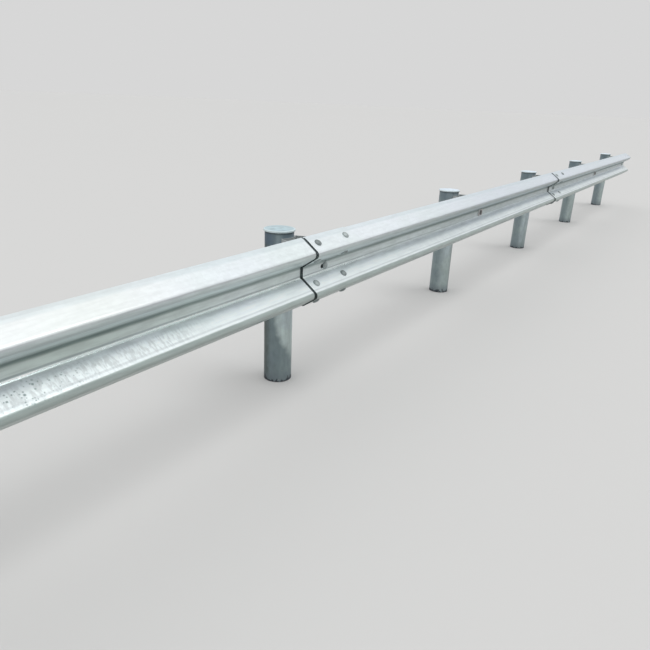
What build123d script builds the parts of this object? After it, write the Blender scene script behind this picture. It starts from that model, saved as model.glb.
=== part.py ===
from build123d import *
import math
import os

os.makedirs("parts", exist_ok=True)

# Layout of the row, millimetres
post_spacing = 2000
bays_per_panel = 2
panel_count = 3
rail_centre_height = 640
lap_length = 320

# Two-wave rail panel
rail_height = 310
rail_depth = 85
rail_sheet = 3
crown_spacing = 182
wave_slope = 35
crown_bend_radius = 17
valley_bend_radius = 8
lip_length = 14
lip_drop = 10
lip_bend_radius = 10

# Holes of the rail panel
splice_end_distance = 50
splice_hole_depth = 44
splice_slot_length = 30
splice_slot_width = 24
post_slot_length = 50
post_slot_width = 20

# Round tube post
post_radius = 70
post_wall = 4.5
post_rise_over_block = 30
through_bolt_hole_radius = 11

# Pressed cap of the post
cap_overhang = 6
cap_sheet = 3
cap_rim_drop = 5
cap_crown_rise = 5
cap_edge_radius = 2
cap_spigot_length = 25
cap_spigot_wall = 2.5
cap_spigot_clearance = 0.5

# Hexagonal block-out
block_depth = 178
block_corner_width = 199
block_height = 200
block_sheet = 4.5
block_front_width = 90
block_back_width = 104
block_bend_radius = 14
block_rear_bend_radius = 8
block_slot_length = 40
block_slot_width = 20

# Clearances between seated pieces
seat_clearance = 0.3
lap_clearance = 0.3

# Values that follow from the sizes above
post_count = panel_count * bays_per_panel + 1
panel_pitch = bays_per_panel * post_spacing
panel_length = panel_pitch + lap_length
row_half_length = panel_count * panel_pitch / 2
post_top_height = rail_centre_height + block_height / 2 + post_rise_over_block
slope = math.radians(wave_slope)
lip_slope = math.radians(wave_slope - lip_drop)

# A lapped sheet stands off until its flattest slope clears the sheet behind
lap_step = (rail_sheet + lap_clearance) / math.sin(lip_slope)
skew = math.atan2(lap_step, panel_pitch)

# The rail's back stands this far in front of the middle post's axis
rail_back = -(post_radius + block_depth + 2 * seat_clearance)


def panel_of_post(index):
    # the panel that lies nearest to the post: the one that ends there, where two lap
    return max(0, math.ceil(index / bays_per_panel) - 1)


def post_x(index):
    return index * post_spacing - row_half_length


def panel_middle_x(panel):
    return (panel + 0.5) * panel_pitch - row_half_length


def post_y(index):
    # each post stands where the slightly turned panel leaves it
    along = post_x(index) - panel_middle_x(panel_of_post(index))
    return along * math.tan(skew)


def panel_frame(panel):
    # x to the back, y up and z along the rail, from the panel's near end
    start = -panel_length / 2
    origin = (
        panel_middle_x(panel) + start * math.cos(skew),
        rail_back + start * math.sin(skew),
        rail_centre_height,
    )
    along = (math.cos(skew), math.sin(skew), 0)
    across = (-math.sin(skew), math.cos(skew), 0)
    return Plane(origin=origin, x_dir=across, z_dir=along)


# Back face of the sheet, from the valley to the upper lip
crown_bend_reach = crown_bend_radius * (1 / math.sin(slope) - 1)
crown_corner_depth = rail_depth - rail_sheet + crown_bend_reach
valley_corner_height = crown_spacing / 2 - crown_corner_depth * math.tan(slope)
lip_end_height = rail_height / 2 - rail_sheet * math.cos(lip_slope)
lip_corner_height = lip_end_height - lip_length * math.sin(lip_slope)
lip_corner_depth = crown_corner_depth - (lip_corner_height - crown_spacing / 2) / math.tan(slope)
lip_end_depth = lip_corner_depth - lip_length * math.cos(lip_slope)
upper_half = [
    (0, valley_corner_height),
    (-crown_corner_depth, crown_spacing / 2),
    (-lip_corner_depth, lip_corner_height),
    (-lip_end_depth, lip_end_height),
]
lower_half = [(depth, -height) for depth, height in reversed(upper_half)]
bend_radii = [valley_bend_radius + rail_sheet, crown_bend_radius, lip_bend_radius]
all_radii = bend_radii[::-1] + bend_radii

# Heights of the splice holes on the four slopes, at one depth
lower_slope_height = valley_corner_height + splice_hole_depth * math.tan(slope)
upper_slope_height = crown_spacing - lower_slope_height
slope_holes = [
    (upper_slope_height, 1),
    (lower_slope_height, -1),
    (-lower_slope_height, 1),
    (-upper_slope_height, -1),
]
splice_columns = [
    splice_end_distance,
    lap_length - splice_end_distance,
    panel_length - lap_length + splice_end_distance,
    panel_length - splice_end_distance,
]
post_bolts = [lap_length / 2 + bay * post_spacing for bay in range(bays_per_panel + 1)]


def slope_plane(frame, along, height, facing):
    # lies on a slope of the wave, with its x along the rail
    origin = frame.from_local_coords(Vector(-splice_hole_depth, height, along))
    outward = frame.x_dir * -math.sin(slope) + frame.y_dir * (facing * math.cos(slope))
    return Plane(origin=origin, x_dir=frame.z_dir, z_dir=outward)


def make_panel(panel):
    frame = panel_frame(panel)
    with BuildPart() as rail:
        with BuildSketch(frame):
            with BuildLine():
                FilletPolyline(*lower_half, *upper_half, radius=all_radii)
                offset(amount=rail_sheet, side=Side.LEFT)
            make_face()
        extrude(amount=panel_length)
        slopes = [
            slope_plane(frame, along, height, facing)
            for along in splice_columns
            for height, facing in slope_holes
        ]
        with BuildSketch(*slopes):
            SlotOverall(splice_slot_length, splice_slot_width)
        extrude(amount=2 * rail_sheet, both=True, mode=Mode.SUBTRACT)
        valleys = [
            Plane(
                origin=frame.from_local_coords(Vector(0, 0, along)),
                x_dir=frame.z_dir,
                z_dir=frame.x_dir * -1,
            )
            for along in post_bolts
        ]
        with BuildSketch(*valleys):
            SlotOverall(post_slot_length, post_slot_width)
        extrude(amount=2 * rail_sheet, both=True, mode=Mode.SUBTRACT)
    return rail


def upright_plane(x, y, z):
    # faces the front, with its x along the row
    return Plane(origin=(x, y, z), x_dir=(1, 0, 0), z_dir=(0, -1, 0))


def make_post(index):
    foot = Plane(origin=(post_x(index), post_y(index), 0))
    bolt = upright_plane(post_x(index), post_y(index), rail_centre_height)
    with BuildPart() as post:
        with BuildSketch(foot):
            Circle(post_radius)
            Circle(post_radius - post_wall, mode=Mode.SUBTRACT)
        extrude(amount=post_top_height)
        with BuildSketch(bolt):
            Circle(through_bolt_hole_radius)
        extrude(amount=2 * post_radius, both=True, mode=Mode.SUBTRACT)
    return post


def make_cap(index):
    side = upright_plane(post_x(index), post_y(index), post_top_height + seat_clearance)
    outer = post_radius + cap_overhang
    spigot = post_radius - post_wall - cap_spigot_clearance
    shoulder = cap_sheet - cap_edge_radius
    with BuildPart() as cap:
        with BuildSketch(side):
            with BuildLine():
                top = TangentArc(
                    (0, cap_sheet + cap_crown_rise),
                    (outer - cap_edge_radius, cap_sheet),
                    tangent=(1, 0),
                )
                RadiusArc(top @ 1, (outer, shoulder), cap_edge_radius)
                rim = Polyline(
                    (outer, shoulder),
                    (outer, -cap_rim_drop),
                    (outer - cap_sheet, -cap_rim_drop),
                    (outer - cap_sheet, 0),
                    (spigot, 0),
                    (spigot, -cap_spigot_length),
                    (spigot - cap_spigot_wall, -cap_spigot_length),
                    (spigot - cap_spigot_wall, 0),
                )
                under = TangentArc((0, cap_crown_rise), rim @ 1, tangent=(1, 0))
                Line(under @ 0, top @ 0)
            make_face()
        revolve(axis=Axis(side.origin, (0, 0, 1)))
    return cap


def make_block(index):
    front_y = post_y(index) - post_radius - seat_clearance - block_depth
    plan = Plane(origin=(post_x(index), front_y, rail_centre_height - block_height / 2))
    hug_radius = post_radius + seat_clearance
    axis_depth = block_depth + hug_radius
    back_depth = axis_depth - math.sqrt(hug_radius**2 - (block_back_width / 2) ** 2)
    with BuildPart() as block:
        with BuildSketch(plan):
            with BuildLine():
                sides = Polyline(
                    (-block_back_width / 2, back_depth),
                    (-block_corner_width / 2, block_depth / 2),
                    (-block_front_width / 2, 0),
                    (block_front_width / 2, 0),
                    (block_corner_width / 2, block_depth / 2),
                    (block_back_width / 2, back_depth),
                )
                ThreePointArc(sides @ 1, (0, block_depth), sides @ 0)
            make_face()
            fillet(vertices().sort_by(Axis.Y)[:4], radius=block_bend_radius)
            fillet(vertices().sort_by(Axis.Y)[-2:], radius=block_rear_bend_radius)
            offset(amount=-block_sheet, mode=Mode.SUBTRACT)
        extrude(amount=block_height)
        with BuildSketch(upright_plane(post_x(index), front_y, rail_centre_height)):
            SlotOverall(block_slot_length, block_slot_width)
        extrude(amount=2 * block_sheet, both=True, mode=Mode.SUBTRACT)
        with BuildSketch(upright_plane(post_x(index), front_y + block_depth, rail_centre_height)):
            Circle(through_bolt_hole_radius)
        extrude(amount=2 * block_sheet, both=True, mode=Mode.SUBTRACT)
    return block


pieces = []
for panel in range(panel_count):
    pieces.append((f"rail_panel_{panel + 1}", make_panel(panel)))
for index in range(post_count):
    pieces.append((f"post_{index + 1}", make_post(index)))
    pieces.append((f"post_cap_{index + 1}", make_cap(index)))
    pieces.append((f"block_out_{index + 1}", make_block(index)))

for name, piece in pieces:
    piece.part.label = name
    export_step(piece.part, f"parts/{name}.step")
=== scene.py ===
import math
import random

import bmesh
import bpy
from mathutils import Matrix, Vector


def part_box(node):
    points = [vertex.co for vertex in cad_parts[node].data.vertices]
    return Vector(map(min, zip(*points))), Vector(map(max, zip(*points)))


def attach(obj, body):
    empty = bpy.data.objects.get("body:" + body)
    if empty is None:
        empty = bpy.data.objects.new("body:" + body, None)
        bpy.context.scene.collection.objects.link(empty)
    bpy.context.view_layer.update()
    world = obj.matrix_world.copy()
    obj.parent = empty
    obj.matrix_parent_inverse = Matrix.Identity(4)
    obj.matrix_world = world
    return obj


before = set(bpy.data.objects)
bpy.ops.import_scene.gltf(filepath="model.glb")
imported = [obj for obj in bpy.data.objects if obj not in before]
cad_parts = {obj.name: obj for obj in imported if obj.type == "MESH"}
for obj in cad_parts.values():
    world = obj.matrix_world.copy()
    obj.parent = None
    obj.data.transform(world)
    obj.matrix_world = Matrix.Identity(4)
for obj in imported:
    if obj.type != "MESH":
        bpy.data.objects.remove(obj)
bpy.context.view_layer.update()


# The posts are seamed steel tubes, 140 mm across with a 4.5 mm wall, dipped in
# zinc and driven in 2 m apart. The zinc has weathered to a blue grey, with
# darker runs down it and a ragged ring of dried dirt round each foot.
class Shade:
    """A value on its way through a node tree, so that plain sums become Math nodes."""

    def __init__(self, graph, socket):
        self.graph = graph
        self.socket = socket

    def __add__(self, other):
        return self.graph.maths("ADD", self, other)

    def __radd__(self, other):
        return self.graph.maths("ADD", other, self)

    def __sub__(self, other):
        return self.graph.maths("SUBTRACT", self, other)

    def __rsub__(self, other):
        return self.graph.maths("SUBTRACT", other, self)

    def __mul__(self, other):
        return self.graph.maths("MULTIPLY", self, other)

    def __rmul__(self, other):
        return self.graph.maths("MULTIPLY", other, self)

    def __abs__(self):
        return self.graph.maths("ABSOLUTE", self)


class Graph:
    """A node tree. Every node that is added to it comes from node()."""

    def __init__(self, tree):
        self.tree = tree

    def node(self, kind, settings, inputs, output=0):
        """Adds a node and gives one output as a Shade, or the node itself if output is None."""
        made = self.tree.nodes.new(kind)
        for key, value in settings.items():
            setattr(made, key, value)
        for key, value in inputs.items():
            if isinstance(value, Shade):
                self.tree.links.new(value.socket, made.inputs[key])
            else:
                made.inputs[key].default_value = value
        return made if output is None else Shade(self, made.outputs[output])

    def maths(self, operation, *values):
        return self.node("ShaderNodeMath", {"operation": operation}, dict(enumerate(values)))


class Finish(Graph):
    """A material under way, painted by where each point lies, in metres.

    Its x runs along the row from the middle post, y to the back, and z up from the ground.
    """

    def __init__(self, name, metallic):
        self.material = bpy.data.materials.new(name)
        self.material.use_nodes = True
        super().__init__(self.material.node_tree)
        self.shader = self.tree.nodes["Principled BSDF"]
        self.shader.inputs["Metallic"].default_value = metallic
        self.place = self.node("ShaderNodeTexCoord", {}, {}, "Object")
        axes = self.node("ShaderNodeSeparateXYZ", {}, {0: self.place}, None)
        self.x, self.y, self.z = [Shade(self, axes.outputs[i]) for i in range(3)]

    def stretched(self, along, across, upright):
        """The place on the piece with each axis scaled, for a grain that runs one way."""
        return self.node("ShaderNodeMapping", {}, {"Vector": self.place, "Scale": (along, across, upright)})

    def cloud(self, size, place=None, detail=2.0):
        """Soft noise, from 0 to 1, whose patches are about that size in metres."""
        inputs = {"Vector": place or self.place, "Scale": 1 / size, "Detail": detail}
        return self.node("ShaderNodeTexNoise", {}, inputs, "Fac")

    def band(self, value, low, high):
        """Rises smoothly from 0 at low to 1 at high."""
        span = {1: low, 2: high, 3: 0.0, 4: 1.0}
        settings = {"interpolation_type": "SMOOTHSTEP", "clamp": True}
        return self.node("ShaderNodeMapRange", settings, {0: value, **span})

    def between(self, value, foot, rise, fall, end):
        """1 from rise to fall, and smoothly down to 0 at foot and at end."""
        return self.band(value, foot, rise) * (1 - self.band(value, fall, end))

    def stripe(self, value, middle, half_width):
        """1 about the middle, and smoothly down to 0 half a width away on both sides."""
        return 1 - self.band(abs(value - middle), 0.3 * half_width, half_width)

    def crystals(self, size):
        """The flat grey of each zinc crystal, from 0 to 1."""
        inputs = {"Vector": self.place, "Scale": 1 / size}
        cell = self.node("ShaderNodeTexVoronoi", {}, inputs, "Color")
        return self.node("ShaderNodeSeparateColor", {}, {0: cell}, 0)

    def specks(self, size, share):
        """Round dots, one in each cell of that size whose own number is under share."""
        cells = self.node("ShaderNodeTexVoronoi", {}, {"Vector": self.place, "Scale": 1 / size}, None)
        colour = Shade(self, cells.outputs["Color"])
        number = self.node("ShaderNodeSeparateColor", {}, {0: colour}, 0)
        chosen = self.maths("LESS_THAN", number, share)
        return (1 - self.band(Shade(self, cells.outputs["Distance"]), 0.12, 0.3)) * chosen

    def mottle(self, size, place=None):
        """Soft patches, from 0 to 1, for the uneven grey of weathered zinc."""
        return self.band(self.cloud(size, place, detail=4), 0.3, 0.7)

    def mix(self, share, first, second):
        """The first colour at share 0, and the second at 1."""
        settings = {"data_type": "RGBA", "blend_type": "MIX"}
        colours = {6: self.opaque(first), 7: self.opaque(second)}
        return self.node("ShaderNodeMix", settings, {0: share, **colours}, 2)

    def times(self, colour, level):
        """The colour made lighter or darker, with its hue kept."""
        grey = self.node("ShaderNodeCombineColor", {}, {0: level, 1: level, 2: level})
        settings = {"data_type": "RGBA", "blend_type": "MULTIPLY"}
        return self.node("ShaderNodeMix", settings, {0: 1.0, 6: self.opaque(colour), 7: grey}, 2)

    @staticmethod
    def opaque(colour):
        return colour if isinstance(colour, Shade) else (*colour, 1)

    def finish(self, colour, roughness, height, depth, metallic=None):
        """Links up the looks. The surface stands out by the height times the depth."""
        bump = self.node("ShaderNodeBump", {}, {"Height": height, "Distance": depth, "Strength": 1.0})
        looks = {"Base Color": colour, "Roughness": roughness, "Normal": bump, "Metallic": metallic}
        for name, value in looks.items():
            if value:
                self.tree.links.new(value.socket, self.shader.inputs[name])
        return self.material


def coat(names, material):
    for name in names:
        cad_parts[name].material_slots[0].material = material


nearest_post = -2.0
nearest_reach = 1.5
half_spacing = 1.0

# Each tube's dry side, painted lighter as its lit side, faces this way: x along the row, and y to the front
lit_dry_x = 0.55
lit_dry_y = 0.83


def post_finish():
    made = Finish("post_zinc", metallic=0.35)
    green_grey, blue_grey = (0.57, 0.67, 0.66), (0.53, 0.62, 0.65)
    damp_and_shade, edge_shade_grey, far_shade = (0.155, 0.21, 0.23), (0.06, 0.08, 0.07), (0.24, 0.27, 0.25)
    streak_grey, faded_grey = (0.24, 0.29, 0.33), (0.27, 0.34, 0.34)
    splash_grey, dried_dirt = (0.22, 0.26, 0.29), (0.035, 0.038, 0.05)
    sheltered, cap_shadow_grey = (0.10, 0.155, 0.22), (0.06, 0.075, 0.075)
    grit = (0.55, 0.55, 0.52)
    runs = made.cloud(0.05, made.stretched(1, 1, 0.1), detail=4)
    blotches = made.cloud(0.16, detail=3)
    ragged = made.cloud(0.03, detail=5)
    tone = 0.83 + 0.2 * made.band(runs, 0.32, 0.68) + 0.06 * made.crystals(0.012)
    colour = made.mix(made.band(blotches, 0.42, 0.6), green_grey, blue_grey)
    colour = made.times(colour, tone)
    # Damp and painted shade darken each tube from the back, and damp has crept up the nearest one from its
    # foot
    nearest = made.stripe(made.x, nearest_post, nearest_reach)
    from_post = made.maths("WRAP", made.x, half_spacing, -half_spacing)
    sideways = lit_dry_x * from_post - lit_dry_y * made.y
    climb = nearest * (1 - made.band(made.z, 0.06, 0.32))
    dry_and_lit = made.band(sideways - 0.09 * climb + 0.03 * ragged, -0.032 + 0.018 * nearest, 0.026)
    colour = made.mix((0.7 + 0.14 * nearest) * (1 - dry_and_lit), colour, damp_and_shade)
    # Painted shade darkens the nearest tube's front edge on its damp side, and the other tubes' edge on
    # their dry side
    edge = 1 - made.band(sideways + 0.02 * ragged, -0.055, -0.02)
    fronts = 1 - made.band(lit_dry_y * from_post + lit_dry_x * made.y, 0.0, 0.03)
    colour = made.mix(0.85 * edge * fronts * nearest, colour, edge_shade_grey)
    far_edge = made.band(sideways, 0.046, 0.063) * (1 - nearest)
    colour = made.mix(0.5 * far_edge, colour, far_shade)
    streaks = made.band(made.cloud(0.02, made.stretched(1, 1, 0.06), detail=3), 0.5, 0.72)
    colour = made.mix(0.25 * streaks, colour, streak_grey)
    faded = made.band(sideways, -0.03, 0.03) * (1 - made.band(made.z, 0.03, 0.4 - 0.16 * nearest))
    colour = made.mix(0.5 * faded, colour, faded_grey)
    colour = made.times(colour, 1 + 0.14 * (0.5 - made.mottle(0.02, made.stretched(1, 1, 0.4))))
    # Rain has splashed each foot, and dirt has dried there in a ring with a ragged top
    splash = 1 - made.band(made.z - 0.05 * ragged, 0.0, 0.05)
    colour = made.mix(0.45 * splash, colour, splash_grey)
    teeth = made.cloud(0.014, made.stretched(1, 1, 0.5), detail=4)
    ring = 1 - made.band(made.z - 0.1 * teeth, -0.042, -0.03)
    colour = made.mix(0.85 * ring, colour, dried_dirt)
    # Under the cap the tube is bluer, and both sides of the nearest one are painted darker as painted shade
    top = made.band(made.z, 0.68, 0.72)
    side_shade = nearest * made.band(abs(sideways + 0.012) + 0.02 * ragged, 0.015, 0.045)
    colour = made.mix(top * (0.35 + 0.35 * side_shade), colour, sheltered)
    # A painted shadow darkens the tube just under the cap's rim
    cap_shadow = made.band(made.z + 0.01 * ragged, 0.757, 0.764)
    colour = made.mix(0.55 * cap_shadow, colour, cap_shadow_grey)
    flecks = made.specks(0.012, 0.2) * (1 - made.band(made.z, 0.0, 0.12))
    colour = made.mix(0.5 * flecks, colour, grit)
    roughness = 0.4 + 0.16 * blotches + 0.2 * splash
    height = 0.6 * made.cloud(0.006, detail=3) + 0.3 * runs + 0.3 * flecks
    return made.finish(colour, roughness, height, depth=0.0006)


post_names = [f"post_{number}" for number in range(1, 8)]
coat(post_names, post_finish())


# Each cap is a disc of 3 mm plate pressed to a low crown, with its rim turned
# down over the tube's end and a short ring welded under it that fits inside.
def cap_finish():
    made = Finish("cap_zinc", metallic=0.3)
    far_blue, near_blue = (0.75, 0.86, 0.96), (0.49, 0.63, 0.68)
    spot, rim_highlight = (0.35, 0.38, 0.36), (0.83, 0.94, 0.96)
    clouds = made.cloud(0.04, detail=4)
    colour = made.mix(made.stripe(made.x, nearest_post, nearest_reach), far_blue, near_blue)
    colour = made.times(colour, 0.95 + 0.1 * made.crystals(0.009) + 0.22 * (0.5 - made.mottle(0.03)))
    colour = made.mix(0.4 * made.specks(0.02, 0.12), colour, spot)
    # The cap's turned-down rim is painted lighter as a painted highlight
    rim = 1 - made.band(made.z, 0.7725, 0.7745)
    colour = made.mix(0.9 * rim, colour, rim_highlight)
    height = 0.5 * made.cloud(0.004, detail=3) + 0.4 * clouds
    return made.finish(colour, 0.38 + 0.15 * clouds, height, depth=0.0005)


coat([name.replace("post", "post_cap") for name in post_names], cap_finish())


# Each block-out is a six-sided ring of 4.5 mm sheet, folded, seam-welded and
# dipped. It holds the rail off its post, and is meant to crush in a collision.
def block_finish():
    made = Finish("block_zinc", metallic=0.35)
    dark_grey, pale_grey = (0.42, 0.46, 0.47), (0.54, 0.57, 0.57)
    clouds = made.cloud(0.06, detail=4)
    colour = made.mix(clouds, dark_grey, pale_grey)
    colour = made.times(colour, 0.9 + 0.14 * made.crystals(0.010))
    height = 0.6 * made.cloud(0.005, detail=3) + 0.4 * clouds
    return made.finish(colour, 0.4 + 0.18 * clouds, height, depth=0.0006)


coat([name.replace("post", "block_out") for name in post_names], block_finish())


# A hex bolt of 20 mm runs through each tube and the back of its block-out, with
# its head behind the tube and its nut inside the block-out. All the bolts are
# forged steel, dipped in zinc and spun, so they are duller than the sheets.
def bolt_finish(name, metallic, rust_share):
    made = Finish(name, metallic)
    dull_zinc, fresh_zinc, brown = (0.24, 0.275, 0.28), (0.43, 0.485, 0.485), (0.075, 0.06, 0.055)
    clouds = made.cloud(0.012, detail=4)
    colour = made.mix(made.mottle(0.07), dull_zinc, fresh_zinc)
    colour = made.times(colour, 1 + 0.3 * (0.5 - made.mottle(0.012)))
    rust = made.band(made.cloud(0.03, detail=5), 0.62 - rust_share, 0.72 - 0.3 * rust_share)
    colour = made.mix((0.3 + rust_share) * rust, colour, brown)
    return made.finish(colour, 0.42 + 0.2 * clouds, clouds, depth=0.0004)


bolt_zinc = bolt_finish("bolt_zinc", metallic=0.5, rust_share=0.0)
bolt_turns = random.Random(20)
level_tolerance = 1e-6
sharp_angle = math.radians(35)


def rounded(piece, edges, reach, segments):
    """Rounds edges off, up to that reach on both of their faces."""
    bmesh.ops.bevel(
        piece, geom=edges, offset=reach, segments=segments, profile=0.5, affect="EDGES", material=-1
    )


def turned(piece, radius, low, high, sides=32, edge=0.0006):
    """Adds a disc or rod about Z, or with six sides a nut, with its end edges rounded."""
    made = bmesh.ops.create_cone(
        piece, cap_ends=True, segments=sides, radius1=radius, radius2=radius, depth=high - low
    )
    bmesh.ops.translate(piece, verts=made["verts"], vec=(0, 0, (low + high) / 2))
    edges = {e for v in made["verts"] for e in v.link_edges}
    rims = [e for e in edges if abs(e.verts[0].co.z - e.verts[1].co.z) < level_tolerance]
    rounded(piece, rims, edge, segments=2)


def corner_radius(flats):
    """The radius over the corners of a hexagon of that size across its flats."""
    return flats / 2 / math.cos(math.pi / 6)


def shown(name, piece, material):
    """Puts a finished piece in the scene, riding on the row."""
    mesh = bpy.data.meshes.new(name)
    piece.to_mesh(mesh)
    piece.free()
    mesh.polygons.foreach_set("use_smooth", [True] * len(mesh.polygons))
    mesh.set_sharp_from_angle(angle=sharp_angle)
    mesh.materials.append(material)
    made = bpy.data.objects.new(name, mesh)
    bpy.context.scene.collection.objects.link(made)
    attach(made, "root")


def set_out(name, pattern, seats, material):
    """Joins copies of a pattern, one at each seat: a place, and the way its head points."""
    mesh = bpy.data.meshes.new(name + "_pattern")
    pattern.to_mesh(mesh)
    pattern.free()
    row = bmesh.new()
    for place, outward in seats:
        copied = len(row.verts)
        row.from_mesh(mesh)
        facing = outward.to_track_quat("Z", "Y").to_matrix().to_4x4()
        turn = Matrix.Rotation(bolt_turns.uniform(0, math.pi / 3), 4, "Z")
        seat = Matrix.Translation(place) @ facing @ turn
        bmesh.ops.transform(row, matrix=seat, verts=row.verts[copied:])
    bpy.data.meshes.remove(mesh)
    shown(name, row, material)


post_radius = 0.07
block_sheet = 0.0045
bolt_height = 0.64
through_radius = 0.010
through_flats = 0.030
through_head = 0.0125
through_nut = 0.016
through_end = 0.028
through_washer = 0.003
through_washer_radius = 0.0185
through_grip = 2 * post_radius + block_sheet
hex_edge = 0.0012
end_edge = 0.0015
shank_overlap = 0.001

through_bolt = bmesh.new()
hex_radius = corner_radius(through_flats)
head_top = through_washer + through_head
nut_seat = -through_grip - through_washer
turned(through_bolt, through_washer_radius, 0, through_washer)
turned(through_bolt, hex_radius, through_washer, head_top, sides=6, edge=hex_edge)
turned(through_bolt, through_radius, -through_grip - through_end, shank_overlap, edge=end_edge)
turned(through_bolt, through_washer_radius, nut_seat, -through_grip)
turned(through_bolt, hex_radius, nut_seat - through_nut, nut_seat, sides=6, edge=hex_edge)

backward = Vector((0, 1, 0))
through_seats = []
for name in post_names:
    low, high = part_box(name)
    through_seats.append((Vector(((low.x + high.x) / 2, high.y, bolt_height)), backward))
set_out("through_bolts", through_bolt, through_seats, bolt_zinc)


# The rail is roll-formed from 3 mm sheet into two waves, punched and dipped in
# zinc, which is brighter than the posts'. Each panel's near end lies in front
# of the one before it, and dirt, water and a painted shadow darken the edge of the joint.
lap_length = 0.32
splice_posts = (-2, 2)


def rail_finish():
    made = Finish("rail_zinc", metallic=0.35)
    grey_zinc, blue_zinc, far_zinc = (0.74, 0.81, 0.82), (0.77, 0.82, 0.86), (0.71, 0.78, 0.88)
    neutral_top, shaded_slope, lip_grey = (0.82, 0.84, 0.81), (0.65, 0.77, 0.76), (0.56, 0.66, 0.70)
    rim_shade_grey, rim_line = (0.40, 0.47, 0.45), (0.37, 0.44, 0.43)
    valley_shade_green, bend_shade_grey = (0.64, 0.76, 0.70), (0.205, 0.285, 0.265)
    crease_shade, line_shade_grey = (0.10, 0.135, 0.13), (0.34, 0.41, 0.42)
    bare_highlight_zinc, slope_highlight_white, inner_slope_shade = (0.90, 1.0, 0.99), (0.92, 0.99, 1.0), (0.60, 0.68, 0.72)
    crest_mark_and_shade, mud_grey, joint_dirt_and_shadow = (0.35, 0.38, 0.40), (0.22, 0.30, 0.30), (0.005, 0.022, 0.025)
    # Heights from the rail's centre where the lower wave's rim ends and the upper one's top begins
    rim_top = (-0.0785, -0.0735)
    top_foot = (0.088, 0.098)
    height = made.z - bolt_height
    clouds = made.cloud(0.35, detail=4)
    rolling = made.cloud(0.02, made.stretched(0.03, 1, 1), detail=3)
    spangle = made.crystals(0.014)
    colour = made.mix(made.band(clouds, 0.35, 0.65), grey_zinc, blue_zinc)
    colour = made.times(colour, 0.92 + 0.06 * spangle + 0.06 * rolling)
    colour = made.mix(0.5 * made.band(made.x, -2.0, 0.5), colour, far_zinc)
    # Its top is tinted more neutral on the near stretch, and its up-facing slopes are painted lighter as
    # painted highlight, most about the first joint, and darker beyond as painted shade
    near = 1 - made.band(made.x, -3.2, -2.7)
    lit_stretch = made.stripe(made.x, -2.5, 0.7)
    highlight_spread = made.stripe(made.x, -2.3, 1.6)
    shaded_stretch = made.band(made.x, -2.3, -0.3)
    far = made.band(made.x, -1.2, 0.5)
    upper = made.band(height, 0.096, 0.104)
    lower = made.between(height, *rim_top, -0.045, -0.03)
    colour = made.mix(0.5 * upper * near, colour, neutral_top)
    top_highlight = upper * (0.05 + 0.07 * highlight_spread - 0.02 * near - 0.09 * far) + 0.25 * lower * highlight_spread
    colour = made.times(colour, 1 + top_highlight)
    # Each wave's front, underside and lower rim are painted darker than its top as painted shade, from a
    # crisp line down, and the underside lighter about the first joint
    front = made.between(height, 0.065, 0.079, 0.0965, 0.1015)
    colour = made.times(colour, 1 - 0.31 * front)
    under_upper = made.between(height, 0.03, 0.05, *top_foot)
    colour = made.mix(0.5 * under_upper, colour, shaded_slope)
    underside_shade = made.between(height, 0.008, 0.016, *top_foot)
    colour = made.times(colour, 1 + underside_shade * (0.1 * lit_stretch - 0.27 * shaded_stretch))
    rim = 1 - made.band(height, *rim_top)
    colour = made.mix(0.9 * rim, colour, rim_shade_grey)
    colour = made.mix(0.4 * made.stripe(height, -0.083, 0.006), colour, rim_line)
    colour = made.mix(0.35 * made.band(height, 0.138, 0.146), colour, lip_grey)
    # The valley is painted darker and greener towards the bend above it, as painted shade
    floor_band = made.between(height, -0.019, -0.01, 0.016, 0.028)
    valley_shade = 0.15 * made.band(height, -0.01, 0.018) + 0.26 * made.band(made.x, -1.0, -0.4)
    colour = made.times(colour, 1 - floor_band * (valley_shade + 0.05 * near - 0.1 * lit_stretch))
    colour = made.mix((0.3 + 0.3 * near) * made.stripe(height, 0.0, 0.034), colour, valley_shade_green)
    # Painted shade darkens its upper bend, most of all in the crease, and a thin painted dark line lies
    # above its lower one
    bend_shade = made.between(height, 0.009, 0.022, 0.028, 0.058)
    colour = made.mix((0.58 + 0.19 * near) * bend_shade, colour, bend_shade_grey)
    crease = made.stripe(height, 0.0235, 0.012)
    colour = made.mix((0.25 + 0.08 * near) * crease, colour, crease_shade)
    line = made.stripe(height, -0.0182, 0.0055)
    colour = made.mix((0.5 + 0.2 * near) * line, colour, line_shade_grey)
    # The lower bend itself is rubbed to bare bright zinc and painted lighter as a painted highlight, most
    # of all up to the first joint
    bare_and_highlight = made.stripe(height, -0.0252, 0.0052) * (1 - 0.8 * made.band(made.x, -2.3, -1.3))
    colour = made.mix(bare_and_highlight, colour, bare_highlight_zinc)
    bend = 3.4 * made.band(height, -0.0298, -0.0238)
    # The lower slope is painted bright as a painted highlight, under its drips and dull patches
    slope_highlight = made.between(height, *rim_top, -0.054, -0.038)
    drips = made.band(made.cloud(0.011, made.stretched(1, 0.15, 0.15), detail=5), 0.4, 0.7)
    dull = made.band(made.cloud(0.06, made.stretched(1, 0.6, 0.6), detail=3), 0.4, 0.65)
    colour = made.mix(slope_highlight * (0.95 - 0.25 * drips - 0.25 * dull), colour, slope_highlight_white)
    runs = made.band(made.cloud(0.009, made.stretched(1, 0.3, 0.3), detail=5), 0.42, 0.6)
    marked = (1 - made.band(made.x, -3.0, -2.7)) * made.stripe(height, -0.055, 0.026)
    colour = made.times(colour, 1 - 0.22 * marked * runs)
    # Painted shade darkens the top of the lower slope, under the upper wave
    inner = made.between(height, -0.05, -0.036, -0.034, -0.03)
    colour = made.mix(0.3 * inner, colour, inner_slope_shade)
    # A roll mark runs along the top of the lower crown, and a painted shade line along the upper one's
    # front on the near stretch
    colour = made.mix(0.3 * made.stripe(height, -0.0685, 0.0035), colour, crest_mark_and_shade)
    colour = made.mix(0.2 * near * made.stripe(height, 0.079, 0.006), colour, crest_mark_and_shade)
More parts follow.
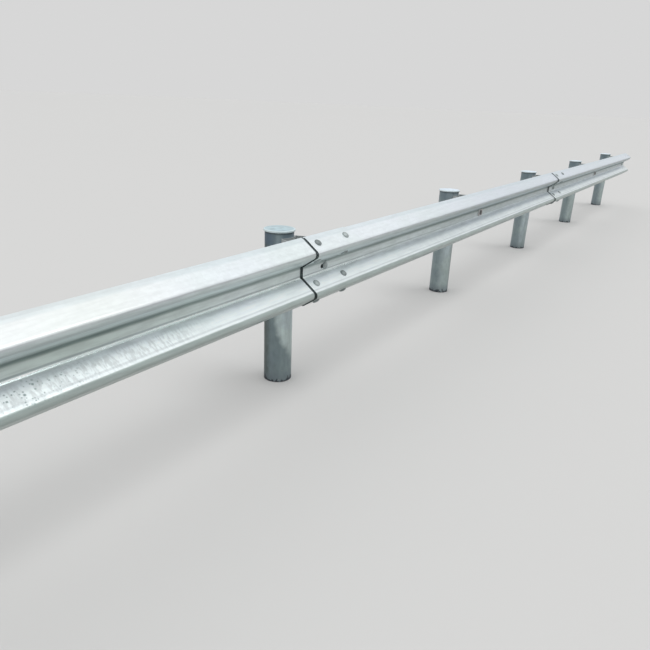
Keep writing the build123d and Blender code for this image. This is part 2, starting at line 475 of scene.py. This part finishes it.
    # Mud has been thrown on the near stretch of it
    spread = made.stripe(made.x, -3.6, 0.45) * made.stripe(height, -0.057, 0.034)
    mud = made.maths("MAXIMUM", made.specks(0.011, 0.75), made.specks(0.018, 0.7))
    colour = made.mix(0.9 * mud * spread, colour, mud_grey)
    grain = 0.5 - made.mottle(0.012, made.stretched(0.12, 1, 1))
    colour = made.times(colour, 1 + grain * (0.18 - 0.12 * upper - 0.08 * lower))
    # Dirt and a painted shadow of the lap's gap darken the edge of each joint
    for post in splice_posts:
        edge = post - lap_length / 2
        dirt_and_shadow = made.between(made.x, edge - 0.013, edge - 0.005, edge + 0.0003, edge + 0.0006)
        colour = made.mix(0.94 * dirt_and_shadow, colour, joint_dirt_and_shadow)
    roughness = 0.28 + 0.12 * clouds + 0.05 * spangle + 0.15 * drips * slope_highlight
    roughness = roughness + 0.2 * bend_shade - 0.15 * bare_and_highlight
    bumps = 0.3 * made.cloud(0.004, detail=3) + 0.3 * rolling + 0.3 * clouds + bend
    return made.finish(colour, roughness, bumps, depth=0.0005, metallic=0.35 + 0.6 * bare_and_highlight)


coat(["rail_panel_1", "rail_panel_2", "rail_panel_3"], rail_finish())


# A dome-head bolt of 16 mm holds the rail's valley to each block-out, with its
# nut inside it. At the middle of a panel, where only one sheet is held, a plate
# of 4 mm steel lies under the head, so that it can't pull through the slot.
def domed(piece, radius, height, lip):
    """Adds a round head about Z that stands on the ground plane, with a low upright lip."""
    made = bmesh.ops.create_uvsphere(piece, u_segments=32, v_segments=16, radius=radius)
    ball = made["verts"]
    bmesh.ops.scale(piece, vec=(1, 1, (height - lip) / radius), verts=ball)
    faces = list({f for v in ball for f in v.link_faces})
    edges = list({e for v in ball for e in v.link_edges})
    cut = bmesh.ops.bisect_plane(
        piece, geom=ball + edges + faces, plane_co=(0, 0, 0), plane_no=(0, 0, 1), clear_inner=True
    )
    rim = [g for g in cut["geom_cut"] if isinstance(g, bmesh.types.BMEdge)]
    dome = [g for g in cut["geom"] if isinstance(g, bmesh.types.BMVert) and g.is_valid]
    bmesh.ops.translate(piece, verts=dome, vec=(0, 0, lip))
    skirt = bmesh.ops.extrude_edge_only(piece, edges=rim)
    low_ring = [g for g in skirt["geom"] if isinstance(g, bmesh.types.BMVert)]
    bmesh.ops.translate(piece, verts=low_ring, vec=(0, 0, -lip))
    skirt_edges = [g for g in skirt["geom"] if isinstance(g, bmesh.types.BMEdge)]
    low_edges = [e for e in skirt_edges if all(v in low_ring for v in e.verts)]
    bmesh.ops.holes_fill(piece, edges=low_edges)


head_radius = 0.017
head_height = 0.009
head_lip = 0.002
shank_radius = 0.008
shank_end = 0.022
washer_radius = 0.016
washer_sheet = 0.003
nut_flats = 0.024
nut_height = 0.013
bolt_edge = 0.001


def dome_bolt(grip):
    """A bolt whose head stands on the plane, and whose washer and nut close on that grip."""
    made = bmesh.new()
    nut_front = -grip - washer_sheet
    nut_back = nut_front - nut_height
    domed(made, head_radius, head_height, head_lip)
    turned(made, shank_radius, -grip - shank_end, shank_overlap, sides=24, edge=bolt_edge)
    turned(made, washer_radius, nut_front, -grip)
    turned(made, corner_radius(nut_flats), nut_back, nut_front, sides=6, edge=bolt_edge)
    return made


rail_sheet = 0.003
rail_depth = 0.085
panel_low, panel_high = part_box("rail_panel_1")
panel_turn = (panel_high.y - panel_low.y - rail_depth) / (panel_high.x - panel_low.x)


def valley_back(panel, x):
    """The back of a panel's valley at x: each panel is turned a little, so that it laps."""
    low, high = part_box(f"rail_panel_{panel}")
    return high.y - (high.x - x) * panel_turn


def plate_finish():
    made = Finish("plate_zinc", metallic=0.35)
    dark_grey, pale_grey, rust_tint = (0.54, 0.55, 0.56), (0.68, 0.70, 0.71), (0.40, 0.33, 0.30)
    clouds = made.cloud(0.02, detail=4)
    colour = made.mix(clouds, dark_grey, pale_grey)
    colour = made.times(colour, 0.92 + 0.1 * made.crystals(0.008))
    colour = made.mix(0.5 * made.mottle(0.02), colour, rust_tint)
    return made.finish(colour, 0.34 + 0.15 * clouds, clouds, depth=0.0004)


plate_length = 0.076
plate_width = 0.044
plate_sheet = 0.004
plate_lift = 0.0008
plate_corner = 0.005
plate_edge = 0.0008
lap_bolt_shift = 0.010
posts_per_panel = 2
panel_count = 3
frontward = Vector((0, -1, 0))
bolt_rust = bolt_finish("bolt_rust", metallic=0.2, rust_share=0.5)
held = {"lap": [3, 5], "mid": [2, 4, 6], "end": [1, 7]}
plates = bmesh.new()
for kind, numbers in held.items():
    seats = []
    for number in numbers:
        low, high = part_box(f"post_{number}")
        x = (low.x + high.x) / 2
        outer_panel = min((number - 1) // posts_per_panel + 1, panel_count)
        head_seat = valley_back(outer_panel, x) - rail_sheet
        if kind == "mid":
            plate_back = head_seat - plate_lift
            head_seat = plate_back - plate_sheet
            made = bmesh.ops.create_cube(plates, size=1)
            bmesh.ops.scale(plates, vec=(plate_length, plate_sheet, plate_width), verts=made["verts"])
            middle = Vector((x, plate_back - plate_sheet / 2, bolt_height))
            bmesh.ops.translate(plates, verts=made["verts"], vec=middle)
        if kind == "lap":
            x += lap_bolt_shift
        seats.append((Vector((x, head_seat, bolt_height)), frontward))
    # All posts of a kind have the same grip, so the last one's will do
    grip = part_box(f"block_out_{number}")[0].y + block_sheet - head_seat
    material = bolt_rust if kind == "mid" else bolt_zinc
    set_out(f"{kind}_valley_bolts", dome_bolt(grip), seats, material)

corners = [e for e in plates.edges if abs(e.verts[0].co.y - e.verts[1].co.y) > plate_sheet / 2]
rounded(plates, corners, plate_corner, segments=4)
bmesh.ops.recalc_face_normals(plates, faces=plates.faces)
flat_faces = [f for f in plates.faces if abs(f.normal.y) > 0.9]
outline = list({e for f in flat_faces for e in f.edges})
rounded(plates, outline, plate_edge, segments=2)
shown("plate_washers", plates, plate_finish())


# Eight dome-head bolts hold each lap, four in each of two columns. Each goes
# square through the slope it sits on, and its nut closes the lap from behind.
column_offset = 0.11
crown_rise = 0.091
crown_radius = 0.017
hole_depth = 0.044
wave_slope = math.radians(35)
crown_corner = rail_depth - rail_sheet + crown_radius * (1 / math.sin(wave_slope) - 1)
valley_corner = crown_rise - crown_corner * math.tan(wave_slope)
hole_offset = crown_rise - valley_corner - hole_depth * math.tan(wave_slope)
outer_hole = crown_rise + hole_offset
inner_hole = crown_rise - hole_offset
slope_holes = [(outer_hole, 1), (inner_hole, -1), (-inner_hole, 1), (-outer_hole, -1)]

for joint, post in enumerate(splice_posts, start=1):
    under, over = joint, joint + 1
    lap_step = valley_back(under, post) - valley_back(over, post)
    grip = lap_step * math.sin(wave_slope) + rail_sheet
    offset = lap_step * math.cos(wave_slope) / 2
    seats = []
    for x in (post - column_offset, post + column_offset):
        for height, facing in slope_holes:
            outward = Vector((0, -math.sin(wave_slope), facing * math.cos(wave_slope)))
            downhill = Vector((0, math.cos(wave_slope), facing * math.sin(wave_slope)))
            hole = Vector((x, valley_back(over, x) - hole_depth, bolt_height + height))
            seats.append((hole + outward * rail_sheet + downhill * offset, outward))
    set_out(f"splice_bolts_{joint}", dome_bolt(grip), seats, bolt_zinc)


# The floor is a plain pale one that runs to the horizon. It looks pale to the
# camera and in reflections, but throws back only the light of a mid grey.
floor_reach = 400
floor_mesh = bpy.data.meshes.new("studio_floor")
sheet = bmesh.new()
bmesh.ops.create_grid(sheet, x_segments=1, y_segments=1, size=floor_reach)
sheet.to_mesh(floor_mesh)
sheet.free()
floor = bpy.data.objects.new("studio_floor", floor_mesh)
bpy.context.scene.collection.objects.link(floor)


def backdrop_rays(graph):
    """1 on the rays that show the backdrop: straight, in metal and through glass."""
    path = graph.node("ShaderNodeLightPath", {}, {}, None)
    kinds = ("Camera", "Glossy", "Transmission")
    straight, mirrored, through = [Shade(graph, path.outputs[f"Is {kind} Ray"]) for kind in kinds]
    return graph.maths("MAXIMUM", straight, graph.maths("MAXIMUM", mirrored, through))


def floor_finish():
    made = Finish("studio_floor", metallic=0.0)
    thrown_back, seen = (0.36, 0.36, 0.35), (0.598, 0.598, 0.592)
    colour = made.mix(backdrop_rays(made), thrown_back, seen)
    made.tree.links.new(colour.socket, made.shader.inputs["Base Color"])
    made.shader.inputs["Roughness"].default_value = 0.9
    return made.material


floor_mesh.materials.append(floor_finish())


# The light is a soft dome, brightest overhead, and one wide soft lamp. The
# camera and reflections in the zinc see an even pale grey in the dome's place.
zenith_light = 1.28
horizon_light = 0.25
backdrop_level = 0.68
lamp_strength = 0.74
lamp_spread = math.radians(30)
lamp_direction = Vector((-0.3, 0.45, -1.0))

world = bpy.data.worlds.new("light_dome")
world.use_nodes = True
bpy.context.scene.world = world
dome = Graph(world.node_tree)
facing = dome.node("ShaderNodeTexCoord", {}, {}, "Generated")
upward = dome.node("ShaderNodeSeparateXYZ", {}, {0: facing}, 2)
ramp = {0: upward, 1: 0.0, 2: 1.0, 3: horizon_light, 4: zenith_light}
strength = dome.node("ShaderNodeMapRange", {}, ramp)
levels = {0: backdrop_rays(dome), 2: strength, 3: backdrop_level}
strength = dome.node("ShaderNodeMix", {"data_type": "FLOAT"}, levels)
background = world.node_tree.nodes["Background"]
background.inputs["Color"].default_value = (1, 1, 1, 1)
world.node_tree.links.new(strength.socket, background.inputs["Strength"])

light = bpy.data.lights.new("wide_lamp", "SUN")
light.energy = lamp_strength
light.angle = lamp_spread
lamp = bpy.data.objects.new("wide_lamp", light)
lamp.rotation_euler = lamp_direction.to_track_quat("-Z", "Y").to_euler()
bpy.context.scene.collection.objects.link(lamp)


# The camera stands in front of the second post, higher than the rail, and
# looks slantwise down along the row.
camera_place = (-4.1640, -1.7126, 1.3403)
heading, dip, lean = 0.5855, 0.3629, -0.0440

eye = bpy.data.cameras.new("row_camera")
eye.sensor_width = 36
eye.lens = 32.525
eye.clip_end = 2000
camera = bpy.data.objects.new("row_camera", eye)
camera.matrix_world = (
    Matrix.Translation(camera_place)
    @ Matrix.Rotation(heading - math.pi / 2, 4, "Z")
    @ Matrix.Rotation(math.pi / 2 - dip, 4, "X")
    @ Matrix.Rotation(-lean, 4, "Z")
)
bpy.context.scene.collection.objects.link(camera)
bpy.context.scene.camera = camera
bpy.context.scene.view_settings.view_transform = "Standard"
